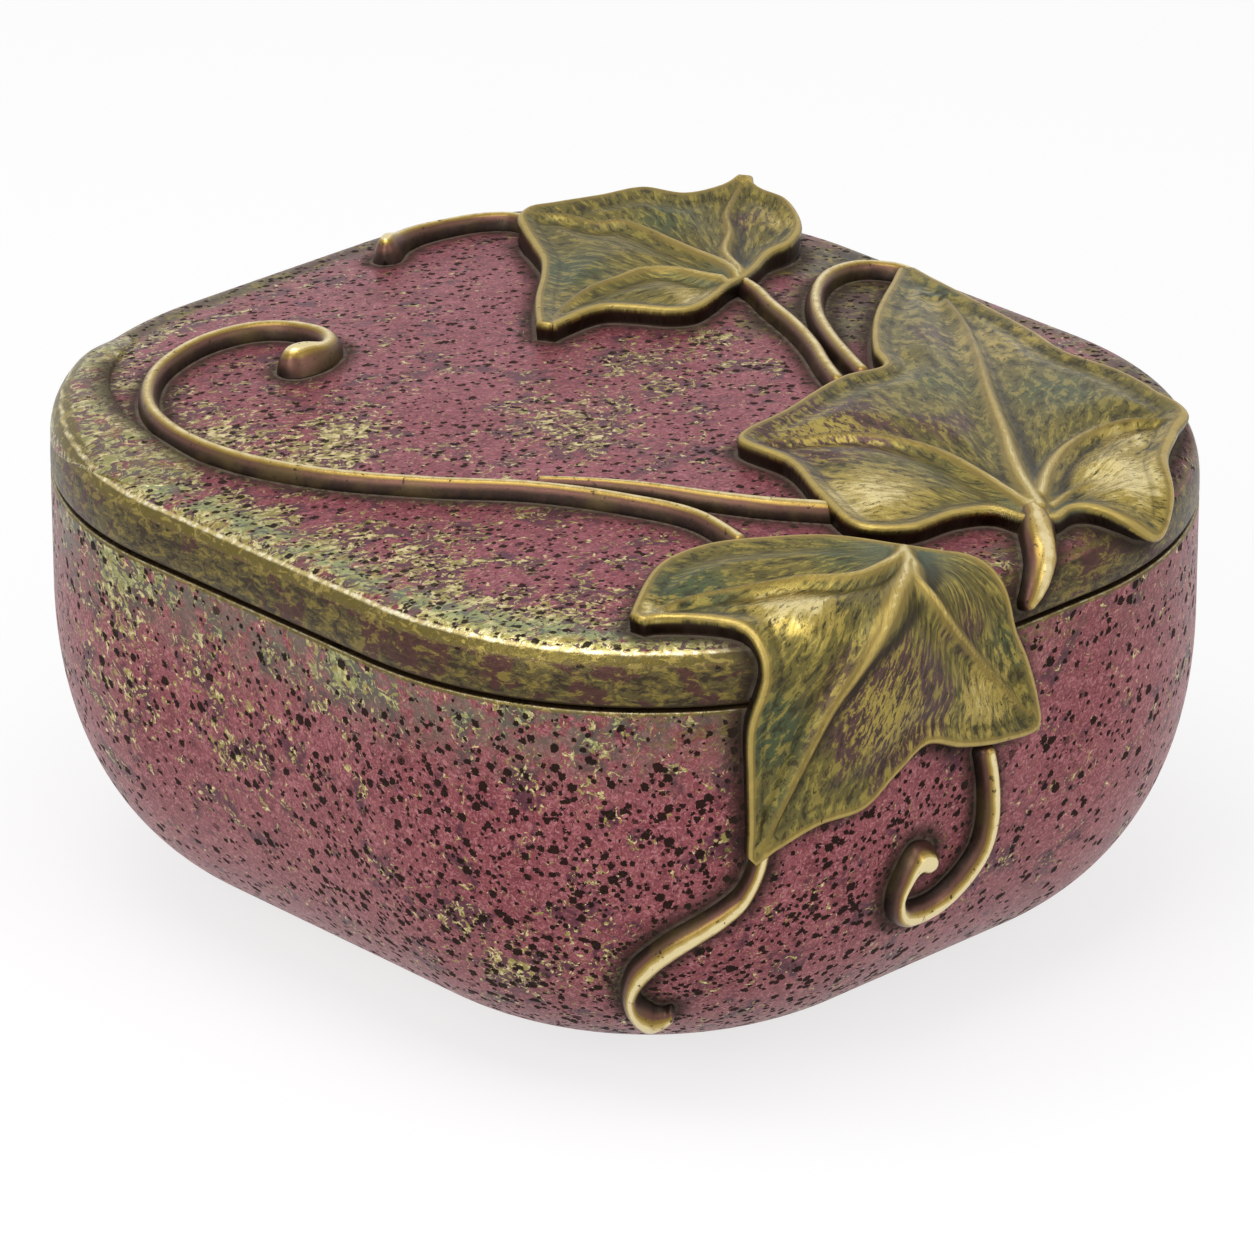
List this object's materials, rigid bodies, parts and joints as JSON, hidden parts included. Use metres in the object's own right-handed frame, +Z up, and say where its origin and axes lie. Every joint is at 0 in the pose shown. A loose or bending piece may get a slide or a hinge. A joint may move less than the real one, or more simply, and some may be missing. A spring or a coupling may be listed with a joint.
{
  "type": "jewellery box",
  "caption": "Low cast-metal jewellery box with bulging sides, a hinged domed lid and raised ivy leaves and tendrils over lid and front.",
  "frame": {"origin": "middle of the flat face that the box rests on, under the middle of the plan", "axes": "+Z up, +X to the right seen from the front, front towards -Y, hinge at the back on +Y"},
  "size_m": [0.16, 0.184, 0.0912],
  "materials": {
    "lustre_metal": "raspberry lustre over cast metal with dark pits, gold and green patina near the edges, semi-gloss",
    "relief_brass": "patinated brass, polished on crests and edges, green and brown in the hollows",
    "hinge_brass": "plain drawn brass, lightly tarnished",
    "steel": "turned steel",
    "lining_fabric": "dark plum velvet",
    "felt": "dark green felt"
  },
  "bodies": {
    "body": {"body_shell": "lustre_metal", "base_felt": "felt", "well_floor_pad": "lining_fabric", "well_wall_lining": "lining_fabric", "tendril_front_tip": "relief_brass", "tendril_front_curl": "relief_brass", "hinge_body_leaf": "hinge_brass", "hinge_pin": "steel", "hinge_screw_body_1": "steel", "hinge_screw_body_2": "steel", "hinge_screw_body_3": "steel"},
    "lid": {"lid_shell": "lustre_metal", "lid_lining_pad": "lining_fabric", "ivy_leaf_front": "relief_brass", "ivy_leaf_side": "relief_brass", "ivy_leaf_back": "relief_brass", "tendril_scroll": "relief_brass", "tendril_back": "relief_brass", "vine_stem_back": "relief_brass", "vine_stem_loop": "relief_brass", "vine_stub": "relief_brass", "hinge_lid_leaf": "hinge_brass", "hinge_screw_lid_1": "steel", "hinge_screw_lid_2": "steel", "hinge_screw_lid_3": "steel"}
  },
  "joints": [
    {"name": "lid_hinge", "type": "hinge", "parent": "body", "child": "lid", "pos_m": [0, 0.0898, 0.072], "axis": [-1, 0, 0], "range_deg": [0, 95]}
  ]
}
